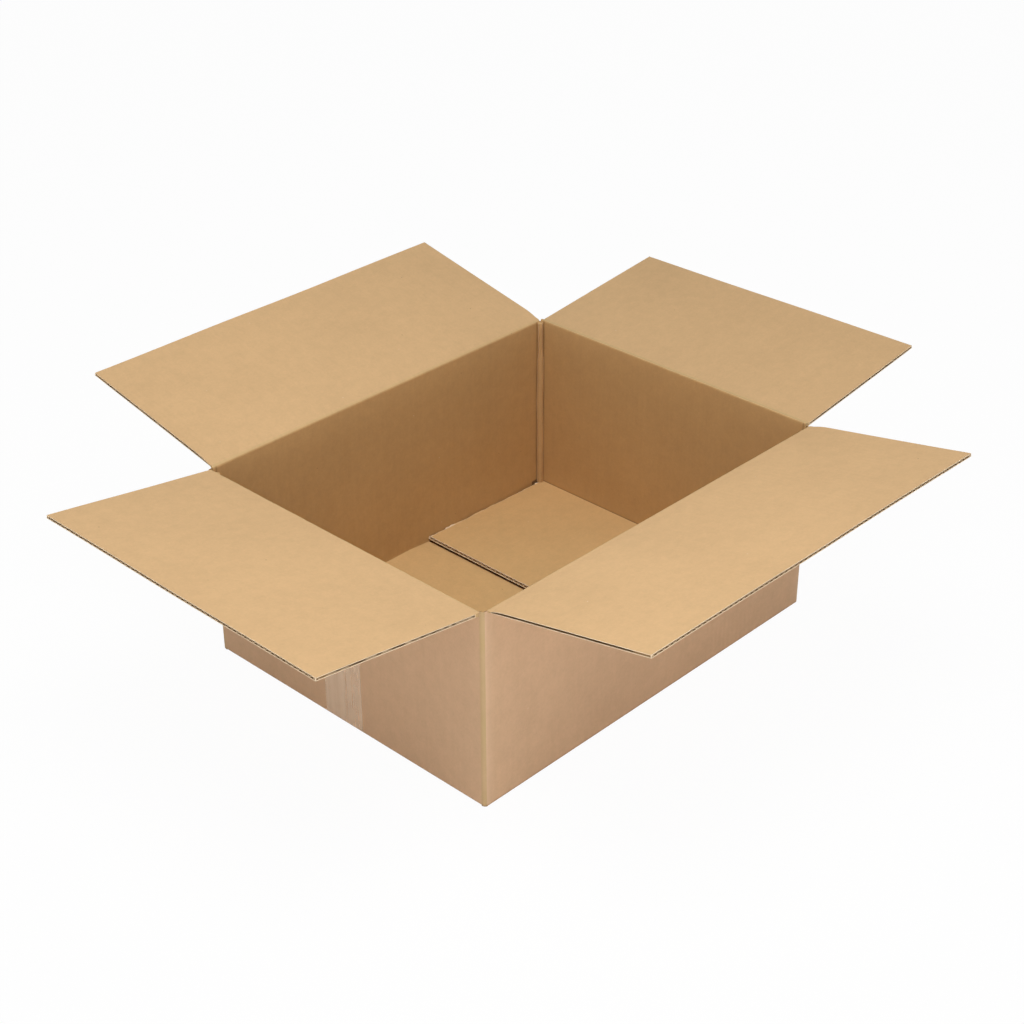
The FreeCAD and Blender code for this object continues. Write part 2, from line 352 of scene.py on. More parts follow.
def make_flute_print():
    """The flutes under the liner: faint ribs across the run, uneven from place to place."""
    tree, start, end = effect(
        "flute_print",
        [("Run", "NodeSocketVector", None), ("Pitch", "NodeSocketFloat", FLUTE_PITCH)],
        [("Height", "NodeSocketFloat"), ("Shade", "NodeSocketFloat")])
    split = add_node(tree, "ShaderNodeSeparateXYZ", (-700, 0))
    tree.links.new(start.outputs["Run"], split.inputs["Vector"])
    turns = work_out(tree, "DIVIDE", split.outputs["X"], start.outputs["Pitch"], (-500, 0))
    wave = work_out(tree, "SINE", work_out(tree, "MULTIPLY", turns, 2 * math.pi, (-350, 0)), None, (-200, 0))
    patch = stretched_noise(tree, start.outputs["Run"], (1, 1, 1), 16.0, 2.0, (-700, -300))
    uneven = spread(tree, patch, 0.35, 0.7, 0.3, 1.0, (-200, -300))
    height = work_out(tree, "MULTIPLY", wave, uneven, (0, 0))
    tree.links.new(height, end.inputs["Height"])
    half = work_out(tree, "MULTIPLY", height, 0.5, (200, -100))
    tree.links.new(work_out(tree, "ADD", half, 0.5, (350, -100)), end.inputs["Shade"])
    return tree


def corner_reach(tree, place, half_length, half_width, y):
    """How far a point is in from the two walls at its nearest upright corner."""
    split = add_node(tree, "ShaderNodeSeparateXYZ", (-900, y))
    tree.links.new(place, split.inputs["Vector"])
    reach = []
    for axis, half, step in (("X", half_length, 0), ("Y", half_width, -150)):
        away = work_out(tree, "ABSOLUTE", split.outputs[axis], None, (-700, y + step))
        reach.append(work_out(tree, "SUBTRACT", half, away, (-550, y + step)))
    return reach[0], reach[1], split.outputs["Z"]


def make_painted_fold_light():
    """Upright folds and the foot: painted shade on the short wall beside each rounded upright fold, a painted
    highlight on the long wall beside it, and painted shade along the foot.
    """
    tree, start, end = effect(
        "painted_fold_light",
        [("Place", "NodeSocketVector", None), ("Width", "NodeSocketFloat", 0.006)],
        [("Corner Shade", "NodeSocketFloat"), ("Corner Highlight", "NodeSocketFloat"), ("Foot Shade", "NodeSocketFloat")])
    place = start.outputs["Place"]
    across_x, across_y, height = corner_reach(tree, place, HALF_LENGTH, HALF_WIDTH, 0)
    uneven = stretched_noise(tree, place, (1, 1, 0.35), 120.0, 4.0, (-900, -450))
    patchy = spread(tree, uneven, 0.3, 0.7, 0.55, 1.0, (-200, -450))
    # Painted shade on the short wall beside each upright fold, and a painted highlight on the long wall
    # beside it.
    seam = work_out(tree, "SUBTRACT", across_x, 0.0021, (-400, 250))
    on_short = work_out(tree, "GREATER_THAN", across_y, seam, (-250, 250))
    on_long = work_out(tree, "SUBTRACT", 1.0, on_short, (-100, 300))
    near_y = spread(tree, across_y, 0.0030, start.outputs["Width"], 1.0, 0.0, (-300, 50))
    near_x = spread(tree, across_x, 0.0030, 0.0150, 1.0, 0.0, (-300, -100))
    upright = work_out(tree, "MULTIPLY", near_y, on_short, (0, 100))
    tree.links.new(work_out(tree, "MULTIPLY", upright, patchy, (200, 100)), end.inputs["Corner Shade"])
    soft = work_out(tree, "MULTIPLY", near_x, near_x, (-100, -100))
    beside = work_out(tree, "MULTIPLY", soft, on_long, (0, -100))
    tree.links.new(work_out(tree, "MULTIPLY", beside, patchy, (200, -50)), end.inputs["Corner Highlight"])
    # Painted shade along the foot, where the bottom fold turns under.
    low = spread(tree, height, 0.0008, 0.0036, 1.0, 0.0, (0, -250))
    tree.links.new(work_out(tree, "MULTIPLY", low, patchy, (200, -250)), end.inputs["Foot Shade"])
    return tree


def make_painted_crevice_shade():
    """Painted shade: a dark line on each wall beside the corner roll, a dark line at the foot of the inside
    walls, and darkening of the bottom flaps under the inner flaps.
    """
    tree, start, end = effect(
        "painted_crevice_shade",
        [("Place", "NodeSocketVector", None), ("Reach", "NodeSocketFloat", 0.0054),
         ("Half Width", "NodeSocketFloat", 0.0012)],
        [("Line", "NodeSocketFloat"), ("Seat Shade", "NodeSocketFloat"), ("Under Flap Shade", "NodeSocketFloat")])
    across_x, across_y, height = corner_reach(tree, start.outputs["Place"], HALF_LENGTH - BOARD,
                                              HALF_WIDTH - BOARD, 0)
    # Painted shade: a dark line at the foot of the inside walls.
    on_wall = work_out(tree, "LESS_THAN", across_x, 0.0013, (-350, -300))
    seat = spread(tree, height, 0.0070, 0.0084, 1.0, 0.0, (-350, -450))
    seated = work_out(tree, "MULTIPLY", seat, on_wall, (-100, -350))
    beside_short = work_out(tree, "MULTIPLY", seated, 0.6, (0, -350))
    by_flap = work_out(tree, "LESS_THAN", across_x, 0.1689, (-350, -600))
    on_long = work_out(tree, "MULTIPLY", work_out(tree, "LESS_THAN", across_y, 0.0013, (-350, -700)), by_flap,
                       (-200, -650))
    risen = work_out(tree, "SUBTRACT", height, work_out(tree, "MULTIPLY", across_x, 0.0178, (-500, -850)),
                     (-350, -850))
    lower = spread(tree, risen, 0.0080, 0.0098, 1.0, 0.0, (-200, -850))
    beside_long = work_out(tree, "MULTIPLY", lower, on_long, (0, -700))
    tree.links.new(work_out(tree, "MAXIMUM", beside_short, beside_long, (150, -500)), end.inputs["Seat Shade"])
    # Painted shade on the bottom flaps under the inner flaps.
    below = work_out(tree, "LESS_THAN", height, 0.0040, (-350, -1000))
    tree.links.new(work_out(tree, "MULTIPLY", below, by_flap, (0, -900)), end.inputs["Under Flap Shade"])
    # Painted shade: a dark line on each wall beside the corner roll.
    along = work_out(tree, "MAXIMUM", across_x, across_y, (-350, 0))
    away = work_out(tree, "SUBTRACT", along, start.outputs["Reach"], (-200, 0))
    off = work_out(tree, "ABSOLUTE", away, None, (-50, 0))
    share = work_out(tree, "DIVIDE", off, start.outputs["Half Width"], (100, 0))
    line = work_out(tree, "SUBTRACT", 1.0, share, (250, 0), True)
    tree.links.new(work_out(tree, "POWER", line, 0.6, (400, 0)), end.inputs["Line"])
    return tree


def board_finish(name, paper, cloud, fibre, flecks, ribs, bump, rough, fold_light=None, crevice_shade=()):
    """A finish of kraft board: its paper, its ribs, its painted fold light and its painted crevice shade."""
    material = bpy.data.materials.new(name)
    material.use_nodes = True
    tree = material.node_tree
    shader = tree.nodes["Principled BSDF"]
    feed(shader, {"Roughness": rough, "Specular IOR Level": 0.15})
    place = add_node(tree, "ShaderNodeTexCoord", (-1100, 200)).outputs["Object"]
    run = add_node(tree, "ShaderNodeUVMap", (-1100, -100), uv_map="board_run").outputs["UV"]
    grain = add_node(tree, "ShaderNodeGroup", (-800, 200), node_tree=paper_grain)
    feed(grain, {"Place": place, "Run": run, "Paper": paper + (1,), "Cloud": cloud, "Fibre": fibre,
                 "Flecks": flecks})
    colour = grain.outputs["Colour"]
    ribbing = add_node(tree, "ShaderNodeGroup", (-800, -100), node_tree=flute_print)
    tree.links.new(run, ribbing.inputs["Run"])
    if ribs:
        shade = spread(tree, ribbing.outputs["Shade"], 0.0, 1.0, 1.0 - ribs, 1.0, (-550, -50))
        grey = add_node(tree, "ShaderNodeCombineColor", (-400, -50))
        for channel in ("Red", "Green", "Blue"):
            tree.links.new(shade, grey.inputs[channel])
        colour = tint(tree, 1.0, colour, grey.outputs["Color"], (-250, 100), "MULTIPLY")
    # Painted fold light: shade beside each upright fold, a highlight beside it, and shade along the foot.
    if fold_light:
        painted_light = add_node(tree, "ShaderNodeGroup", (-800, 450), node_tree=painted_fold_light)
        feed(painted_light, {"Place": place, "Width": fold_light["width"]})
        kinds = (("Corner Shade", "corner_shade", "olive"), ("Corner Highlight", "painted_light", "pale"), ("Foot Shade", "foot", "foot_shade"))
        for step, (label, strength, shade) in enumerate(kinds):
            amount = work_out(tree, "MULTIPLY", painted_light.outputs[label], fold_light[strength],
                              (-500, 600 - 100 * step), True)
            colour = tint(tree, amount, colour, fold_light[shade] + (1,), (-300 + 120 * step, 400))
    if crevice_shade:
        crevice_node = add_node(tree, "ShaderNodeGroup", (-800, 650), node_tree=painted_crevice_shade)
        tree.links.new(place, crevice_node.inputs["Place"])
        for step, (label, strength) in enumerate(crevice_shade):
            amount = work_out(tree, "MULTIPLY", crevice_node.outputs[label], strength, (-500, 700 + 150 * step),
                              True)
            # Dark colour of the painted crevice shade.
            colour = tint(tree, amount, colour, (0.10, 0.05, 0.022, 1), (50 + 150 * step, 600))
    tree.links.new(colour, shader.inputs["Base Color"])
    pulp = work_out(tree, "MULTIPLY", grain.outputs["Height"], 0.25, (-500, -350))
    waves = work_out(tree, "MULTIPLY", ribbing.outputs["Height"], 0.2 if ribs else 0.0, (-500, -500))
    height = work_out(tree, "ADD", pulp, waves, (-300, -400))
    relief = add_node(tree, "ShaderNodeBump", (-100, -350))
    feed(relief, {"Strength": bump, "Distance": 0.0004, "Height": height})
    tree.links.new(relief.outputs["Normal"], shader.inputs["Normal"])
    return material


def tape_finish():
    """Thin clear tape: a pale cast over the board, with pressed and loose streaks along it."""
    material = bpy.data.materials.new("clear_seam_tape")
    material.use_nodes = True
    tree = material.node_tree
    shader = tree.nodes["Principled BSDF"]
    feed(shader, {"Roughness": 0.38, "Specular IOR Level": 0.3})
    place = add_node(tree, "ShaderNodeTexCoord", (-1100, 200)).outputs["Object"]
    grain = add_node(tree, "ShaderNodeGroup", (-800, 200), node_tree=paper_grain)
    feed(grain, {"Place": place, "Run": place, "Paper": (0.90, 0.77, 0.62, 1), "Cloud": 0.03, "Fibre": 0.0,
                 "Flecks": 0.1})
    tree.links.new(grain.outputs["Colour"], shader.inputs["Base Color"])
    streak = stretched_noise(tree, place, (0.02, 1.0, 0.02), 170.0, 3.0, (-800, -150))
    bubbles = stretched_noise(tree, place, (1.0, 1.0, 0.5), 90.0, 4.0, (-800, -350))
    both = work_out(tree, "ADD", work_out(tree, "MULTIPLY", streak, 0.7, (-350, -150)),
                    work_out(tree, "MULTIPLY", bubbles, 0.3, (-350, -350)), (-200, -200))
    film = spread(tree, both, 0.35, 0.65, 0.27, 0.40, (-50, -200))
    back = add_node(tree, "ShaderNodeNewGeometry", (-500, -650)).outputs["Backfacing"]
    path = add_node(tree, "ShaderNodeLightPath", (-700, -900)).outputs
    passing = work_out(tree, "MAXIMUM", path["Is Shadow Ray"], path["Is Diffuse Ray"], (-500, -900))
    hidden = work_out(tree, "MAXIMUM", back, passing, (-300, -700))
    clear = work_out(tree, "SUBTRACT", 1.0, hidden, (-150, -700))
    tree.links.new(work_out(tree, "MULTIPLY", film, clear, (50, -500)), shader.inputs["Alpha"])
    relief = add_node(tree, "ShaderNodeBump", (-100, -450))
    feed(relief, {"Strength": 0.15, "Distance": 0.0003, "Height": streak})
    tree.links.new(relief.outputs["Normal"], shader.inputs["Normal"])
    return material


paper_grain = make_paper_grain()
flute_print = make_flute_print()
painted_fold_light = make_painted_fold_light()
painted_crevice_shade = make_painted_crevice_shade()

# Painted fold light on the outer liner: olive painted shade beside each upright fold on the short wall, a
# pale painted highlight beside it on the long wall, and dark painted shade along the foot.
PAINTED_FOLD_LIGHT = {"width": 0.0050, "corner_shade": 0.8, "painted_light": 0.42, "foot": 0.75,
          "olive": (0.50, 0.36, 0.17), "pale": (0.72, 0.52, 0.35), "foot_shade": (0.26, 0.16, 0.09)}
# Each finish: paper colour, cloud, fibre, flecks, ribs, bump and roughness; then its painted fold light and
# its painted crevice shade.
BOARD_FINISHES = {
    "outer_liner": ((0.615, 0.404, 0.248), 0.16, 0.045, 0.6, 0.008, 0.35, 0.82, PAINTED_FOLD_LIGHT),
    "inner_liner": ((0.640, 0.419, 0.215), 0.15, 0.03, 0.6, 0.004, 0.35, 0.86),
    # Inside walls: the same inner liner as the flap tops, painted darker and more saturated as shade inside
    # the box, with painted crevice shade.
    "shaded_inside_liner": ((0.555, 0.342, 0.150), 0.16, 0.05, 0.5, 0.012, 0.35, 0.88, None,
                     (("Line", 0.34), ("Seat Shade", 0.75))),
    # The same inner liner again, painted darker as shade for the corner rolls.
    "shaded_corner_liner": ((0.560, 0.352, 0.165), 0.12, 0.06, 0.5, 0.0, 0.35, 0.88),
    # The inner liner on the box floor, tinted more saturated as painted bounce light from the brown walls,
    # with painted shade under the inner flaps.
    "bounce_tinted_bottom_liner": ((0.660, 0.425, 0.192), 0.16, 0.03, 0.5, 0.006, 0.35, 0.88, None, (("Under Flap Shade", 0.8),)),
    # Pale cut paper edges, made paler still as a painted highlight on lips that face away from the lamps.
    "cut_edge": ((0.86, 0.69, 0.48), 0.20, 0.14, 0.5, 0.0, 0.8, 0.95),
    "flute_medium": ((0.62, 0.44, 0.26), 0.15, 0.1, 0.4, 0.0, 0.5, 0.95),
    # The crushed fluting, painted darker than the fluting as shade in the edge channels.
    "shaded_torn_board": ((0.46, 0.33, 0.20), 0.20, 0.14, 0.3, 0.0, 0.6, 0.95),
    # Painted shade: a dark colour for pockets, channels and flap ends, where the fluting lies in shade.
    "painted_pocket_shade": ((0.32, 0.19, 0.085), 0.15, 0.1, 0.0, 0.0, 0.5, 0.95),
    "crease_band": ((0.62, 0.425, 0.21), 0.08, 0.08, 0.6, 0.02, 0.6, 0.88),
}
FINISHES = {name: board_finish(name, *values) for name, values in BOARD_FINISHES.items()}
FINISHES["seam_tape"] = tape_finish()


# The folded blank.

def fold_the_blank():
    """Walls and bottom flaps from one sheet: a sleeve, tabs up to the creases, folds under the base."""
    top_of_short_fold = INNER_BASE_LEVEL + FOLD_RADIUS
    blank = start_block("folded_blank", (-HALF_LENGTH, -HALF_WIDTH, top_of_short_fold),
                        (HALF_LENGTH, HALF_WIDTH, COLUMN_TOP))
    open_up(blank)
    pick(blank, "FACE", lambda c, n: abs(n.z) > 0.5)
    bpy.ops.mesh.delete(type="ONLY_FACE")
    pick(blank, "EDGE", lambda c, d: abs(d.z) > 0.1)
    bpy.ops.mesh.bevel(offset=FOLD_RADIUS, segments=5, affect="EDGES")

    straight_x = HALF_LENGTH - FOLD_RADIUS
    straight_y = HALF_WIDTH - FOLD_RADIUS
    cut(blank, 0, [WALL_START["front"]], lambda c, n: n.y < -0.9)
    cut(blank, 0, [WALL_START["back"]], lambda c, n: n.y > 0.9)
    cut(blank, 1, [WALL_START["left"]], lambda c, n: n.x < -0.9)
    cut(blank, 1, [WALL_START["right"]], lambda c, n: n.x > 0.9)
    cut(blank, 1, [-INNER_SIDE, INNER_SIDE], lambda c, n: abs(n.x) > 0.9)
    cut(blank, 0, even_steps(-straight_x, straight_x, WALL_SPACING), lambda c, n: abs(n.y) > 0.9)
    cut(blank, 1, even_steps(-INNER_SIDE, INNER_SIDE, WALL_SPACING), lambda c, n: abs(n.x) > 0.9)
    cut(blank, 2, even_steps(top_of_short_fold, COLUMN_TOP, WALL_SPACING))

    # The long walls stand higher than the slots.
    long_top = LONG_CREASE - CREASE_BAND
    for side, start in ((-1, WALL_START["front"]), (1, WALL_START["back"])):
        pick(blank, "EDGE", lambda c, d: abs(c.z - COLUMN_TOP) < 1e-5 and abs(c.y - side * HALF_WIDTH) < 1e-5
             and start < c.x < straight_x)
        push((0, 0, long_top - COLUMN_TOP))

    # Beside the slots the corners stand up to the creases.
    def beside_slots(c, d):
        if abs(c.z - COLUMN_TOP) > 1e-5 or abs(d.z) > 1e-5:
            return False
        left = WALL_START["front" if c.y < 0 else "back"]
        front = WALL_START["left" if c.x < 0 else "right"]
        return not (left < c.x < straight_x) and not (front < c.y < straight_y)

    pick(blank, "EDGE", beside_slots)
    push((0, 0, POST_TOP - COLUMN_TOP))
    pick(blank, "VERT", lambda v: abs(v.z - POST_TOP) < 1e-5 and (v.x > 0 or v.y > 0))
    slide((0, 0, -POST_STEP))

    # Corner columns, down between the folds.
    drop = top_of_short_fold - (BASE_LEVEL + FOLD_RADIUS)
    pick(blank, "EDGE", lambda c, d: abs(c.z - top_of_short_fold) < 1e-5 and abs(d.z) < 1e-5
         and (abs(c.x) > straight_x and abs(c.y) > INNER_SIDE))
    push((0, 0, -drop))
    push((0, 0, 0.0016 - (BASE_LEVEL + FOLD_RADIUS)))
    push((0, 0, COLUMN_FOOT - 0.0016))
    bpy.ops.transform.resize(value=(1 - 0.0006 / HALF_LENGTH, 1 - 0.0006 / HALF_WIDTH, 1),
                             center_override=(0, 0, 0))

    # Long walls turn under into the outer bottom flaps.
    for side in (-1, 1):
        pick(blank, "EDGE", lambda c, d: abs(c.z - top_of_short_fold) < 1e-5 and abs(d.z) < 1e-5
             and abs(c.y - side * HALF_WIDTH) < 1e-5 and abs(c.x) < straight_x)
        push((0, 0, -drop))
        bpy.ops.mesh.spin(steps=5, angle=side * math.pi / 2, axis=(1, 0, 0),
                          center=(0, side * straight_y, BASE_LEVEL + FOLD_RADIUS))
        rows = 7
        for row in range(rows):
            push((0, -side * (BOTTOM_DEPTH - FOLD_RADIUS) / rows, 0))

    # Short walls turn in above them, and their free ends spring up a little.
    for side in (-1, 1):
        pick(blank, "EDGE", lambda c, d: abs(c.z - top_of_short_fold) < 1e-5 and abs(d.z) < 1e-5
             and abs(c.x - side * HALF_LENGTH) < 1e-5 and abs(c.y) < INNER_SIDE)
        bpy.ops.mesh.spin(steps=5, angle=-side * math.pi / 2, axis=(0, 1, 0),
                          center=(side * straight_x, 0, top_of_short_fold))
        rows = 42
        for row in range(rows):
            push((-side * (BOTTOM_DEPTH - FOLD_RADIUS) / rows, 0, INNER_LIFT / rows))
    bpy.ops.mesh.select_all(action="SELECT")
    bpy.ops.mesh.remove_doubles(threshold=1e-5)
    bpy.ops.mesh.normals_make_consistent(inside=False)

    # The outer flaps reach out nearly as far as the short walls above them.
    for side in (-1, 1):
        pick(blank, "VERT", lambda v: abs(v.x - side * straight_x) < 1e-5 and v.z < 0.0032
             and abs(v.y) < HALF_WIDTH - 0.0004 and not (abs(v.y) > straight_y and v.z < 0.0001))
        slide((side * OUTER_REACH, 0, 0))
    put_down()
    shape = blank.data
    wall = max(shape.polygons, key=lambda face: face.center.x if abs(face.center.y) < 0.1 else -1)
    if wall.normal.x < 0:
        take_up(blank)
        shape.flip_normals()
    # The inside face of the walls gets the inner liner painted darker as shade.
    for name in ("outer_liner", "shaded_inside_liner", "cut_edge"):
        shape.materials.append(FINISHES[name])
    finish_with(blank, "SOLIDIFY", thickness=BOARD, offset=-1.0, use_even_offset=True,
                use_quality_normals=True, material_offset=1, material_offset_rim=2)

    # The free edges of the inner bottom flaps show their open flutes.
    open_up(blank)
    free_x = HALF_LENGTH - BOTTOM_DEPTH
    for side in (-1, 1):
        pick(blank, "FACE", lambda c, n: n.x * side < -0.9 and abs(c.x - side * free_x) < 5e-4)
        bpy.ops.mesh.inset(thickness=EDGE_LIP, use_boundary=True, use_even_offset=True)
        push((side * FREE_EDGE_POCKET, 0, 0))
    put_down()
    for vertex in shape.vertices:
        rise = vertex.co.z - (INNER_BASE_LEVEL + INNER_LIFT)
        if abs(abs(vertex.co.x) - free_x) < 5e-4 and 0 < rise < 0.01:
            vertex.co.x += math.copysign(FREE_EDGE_SLANT * rise / BOARD, vertex.co.x)
    press_posts(blank)
    settle_the_foot(blank, straight_x, straight_y)
    tear_flap_edge(blank, free_x)

    # Rims: the posts keep their paper, but their highest tops, the pockets between the liners and the flap
    # ends at the foot get painted shade.
    shape.materials.append(FINISHES["painted_pocket_shade"])
    shape.materials.append(FINISHES["bounce_tinted_bottom_liner"])
    pocket = INNER_BASE_LEVEL + INNER_LIFT
    for face in shape.polygons:
        middle, normal = face.center, face.normal
        if face.material_index == 1 and normal.z > 0.8 and middle.z < 0.02:
            face.material_index = 4
        if face.material_index == 2 and middle.z > 0.17:
            face.material_index = 0 if normal.z < 0.5 else 3 if middle.z > 0.1912 else 1
        # The ends of the outer bottom flaps, at the foot, get painted shade.
        if face.material_index == 2 and middle.z < 0.0033 and abs(middle.x) > straight_x:
            face.material_index = 3
        if (free_x + 0.0004 < abs(middle.x) < free_x + 0.0145 and abs(normal.z) > 0.8
                and pocket + 0.0003 < middle.z < pocket + BOARD - 0.0003):
            face.material_index = 3

    def run_of(spot, face):
        turned = abs(face.normal.x) > 0.7 or (abs(face.normal.y) < 0.5 and spot.z > 0.0033)
        if turned:
            return spot.y, spot.x + spot.z
        return spot.x, spot.y + spot.z

    map_board(blank, run_of)
    round_off(blank, 40)
    return blank


def press_posts(blank):
    """The cut tops of the corner posts slope down inside, where the folded board is crushed."""
    for vertex in blank.data.vertices:
        spot = vertex.co
        if spot.z > 0.1915:
            out_x = max(0.0, abs(spot.x) - (HALF_LENGTH - FOLD_RADIUS))
            out_y = max(0.0, abs(spot.y) - (HALF_WIDTH - FOLD_RADIUS))
            spot.z -= POST_SLOPE * min(1.0, max(0.0, FOLD_RADIUS - math.hypot(out_x, out_y)) / BOARD)


def settle_the_foot(blank, straight_x, straight_y):
    """Press the bottom folds: the outer paper is drawn tight on the long ones and sags on the short ones."""
    level = BASE_LEVEL + FOLD_RADIUS
    for vertex in blank.data.vertices:
        spot = vertex.co
        out_y, down = abs(spot.y) - straight_y, level - spot.z
        on_fold = abs(math.hypot(out_y, down) - FOLD_RADIUS) < 0.0001
        if out_y > 0 and down > 0 and on_fold and abs(spot.x) < straight_x + 0.002:
            share = ((out_y ** 4 + down ** 4) ** 0.25) / FOLD_RADIUS
            spot.y = math.copysign(straight_y + out_y / share, spot.y)
            spot.z = level - down / share
    top = INNER_BASE_LEVEL + FOLD_RADIUS
    for vertex in blank.data.vertices:
        spot = vertex.co
        out_x, down = abs(spot.x) - straight_x, top - spot.z
        on_fold = abs(math.hypot(out_x, down) - FOLD_RADIUS) < 0.0001
        if out_x > -1e-6 and down > -1e-6 and on_fold and abs(spot.y) < INNER_SIDE + 1e-4:
            share = ((out_x ** 4 + down ** 4) ** 0.25) / FOLD_RADIUS
            sag = SHORT_FOLD_SAG * min(1.0, max(0.0, out_x - 0.0008) / 0.0012) * min(1.0, down / 0.002)
            spot.x = math.copysign(straight_x + out_x / share, spot.x)
            spot.z = top - down / share - sag


def tear_flap_edge(blank, free_x):
    """The side of the inner flap by the back wall was cut roughly, and stands off the wall."""
    level = INNER_BASE_LEVEL
    for vertex in blank.data.vertices:
        spot = vertex.co
        if not (free_x - 0.001 < spot.x < HALF_LENGTH - FOLD_RADIUS - 0.001 and spot.y > INNER_SIDE - 0.0004
                and spot.z < level + INNER_LIFT + BOARD + 0.001 and spot.z > level - 0.0001):
            continue
        ragged = wander((spot.x, 0, 0), 0.016, 0.0016, 21) + wander((spot.x, 4, spot.z), 0.0055, 0.0012, 23)
        spot.y -= max(0.0009, 0.0026 + ragged)


def tear_strip(name, length, reach, seed, paper, fullness):
    """A torn strip of board, flat along X, with its ragged side towards +Y."""
    put_down()
    bpy.ops.mesh.primitive_plane_add(size=1, location=(0, 0, 0))
    strip = bpy.context.object
    strip.name = strip.data.name = name
    strip.scale = (length, reach, 1)
    bpy.ops.object.transform_apply(location=True, rotation=True, scale=True)
    open_up(strip)
    cut(strip, 0, even_steps(-length / 2, length / 2, 0.0011))
    put_down()
    for vertex in strip.data.vertices:
        spot = vertex.co
        if spot.y > 0:
            far = wander((spot.x, 0, 0), 0.019, 1.1, seed) + wander((spot.x, 2, 0), 0.0042, 0.8, seed + 1)
            spot.y = -reach / 2 + reach * min(1.0, max(0.03, fullness + far))
            spot.z = wander((spot.x, 3, 0), 0.003, 0.0002, seed + 2)
    finish_with(strip, "SOLIDIFY", thickness=0.0003, offset=0.0)
    finish_faces(strip, (paper,), lambda c, n: paper)
    map_board(strip, lambda spot, face: (spot.x, spot.y))
    round_off(strip, 50)
    return strip


def chips_of_bottom_flap():
    """Pale bits of torn paper along the rough side of the inner bottom flap."""
    reach = BOTTOM_DEPTH - FOLD_RADIUS - 0.003
    middle_x = HALF_LENGTH - FOLD_RADIUS - reach / 2 - 0.002
    strip = tear_strip("bottom_flap_torn_paper", reach, 0.0028, 31, "cut_edge", -0.22)
    slope = -INNER_LIFT / (BOTTOM_DEPTH - FOLD_RADIUS)
    top = INNER_BASE_LEVEL + BOARD + INNER_LIFT * 0.5 + 0.0001
    turn = Matrix.Rotation(math.atan(-slope), 4, "Y")
    set_in_place(strip, Matrix.Translation((middle_x, INNER_SIDE - 0.0021, top)) @ turn)
    return strip


def torn_edge_of_flap(side, at_start, strength, seed):
    """Crushed fluting along a slot edge of a top flap: it closes the channel here and there."""
    flap = FLAPS[side]
    length = FLAP_DEPTH - 0.0075
    reach = (BOARD - 2 * EDGE_LIP) * strength
    # The torn fluting gets a finish painted darker as shade in the channel.
    strip = tear_strip(side + "_flap_torn_fluting", length, reach, seed, "shaded_torn_board", 0.35)
    edge = flap["start"] + 0.0004 if at_start else flap["end"] - 0.0004
    low = PIVOT_OUT + EDGE_LIP + reach / 2
    for vertex in strip.data.vertices:
        run, tall, thick = vertex.co
        spot = Vector((edge + thick + wander((run, 5, 0), 0.01, 0.0003, seed + 3),
                       0.0045 + length / 2 + run, low + tall))
        spot.z += lean(side, spot)
        vertex.co = spot
    take_up(strip)
    bpy.ops.object.mode_set(mode="EDIT")
    bpy.ops.mesh.select_all(action="SELECT")
    bpy.ops.mesh.normals_make_consistent(inside=False)
    put_down()
    set_in_place(strip, crease_frame(side))
    return strip


def roll_the_corner(side_x, side_y):
    """The inner liner buckles into a soft roll down the inside of each upright fold."""
    radius = 0.0036
    inner = Vector((side_x * (HALF_LENGTH - BOARD), side_y * (HALF_WIDTH - BOARD), 0))
    inward = Vector((-side_x, -side_y, 0)).normalized()
    middle = inner + inward * 0.0042
    low, tall = 0.0069, 0.1938 if side_x > 0 and side_y > 0 else 0.1895
    put_down()
    bpy.ops.mesh.primitive_cylinder_add(vertices=40, radius=radius, depth=tall - low,
                                        location=(middle.x, middle.y, (tall + low) / 2))
    roll = bpy.context.object
    roll.name = roll.data.name = "corner_roll"
    bpy.ops.object.transform_apply(location=True, rotation=True, scale=True)
    open_up(roll)
    bpy.ops.mesh.select_all(action="SELECT")
    bpy.ops.mesh.bisect(plane_co=middle - inward * 0.0022, plane_no=inward, use_fill=True,
                        clear_inner=True, threshold=1e-6)
    pick(roll, "EDGE", lambda c, d: abs(c.z - tall) < 1e-5)
    bpy.ops.mesh.bevel(offset=0.0007, segments=3, affect="EDGES")
    cut(roll, 2, even_steps(low, tall - 0.001, 0.004))
    put_down()
    beside = Vector((-inward.y, inward.x, 0))
    for vertex in roll.data.vertices:
        spot = vertex.co
        squeeze = wander((spot.z, side_x, side_y), 0.03, 0.00045, 3) + wander(spot, 0.006, 0.00015, 5)
        tucked = max(0.0, min(1.0, (spot.z - 0.150) / 0.010))
        across = (spot - middle).dot(beside)
        narrow = -across * 0.26 * tucked * tucked * (3 - 2 * tucked)
        tail = max(0.0, (spot.z - 0.186) / 0.008)
        vertex.co = (spot + inward * (squeeze - 0.0001 - 0.0011 * tail * tail)
                     + beside * (0.0004 + narrow + wander((spot.z, 9, side_x), 0.035, 0.0006, 7))
                     - inward * 0.0010 * tucked * max(0.0, 1 - abs(across - 0.0002) / 0.0010))
    # The roll's front is the inner liner painted darker as shade.
    finish_faces(roll, ("shaded_corner_liner", "flute_medium"),
                 lambda c, n: "flute_medium" if abs(n.dot(beside)) > 0.8 else "shaded_corner_liner")
    map_board(roll, lambda spot, face: (spot.x - spot.y, spot.z))
    round_off(roll, 50)
    return roll


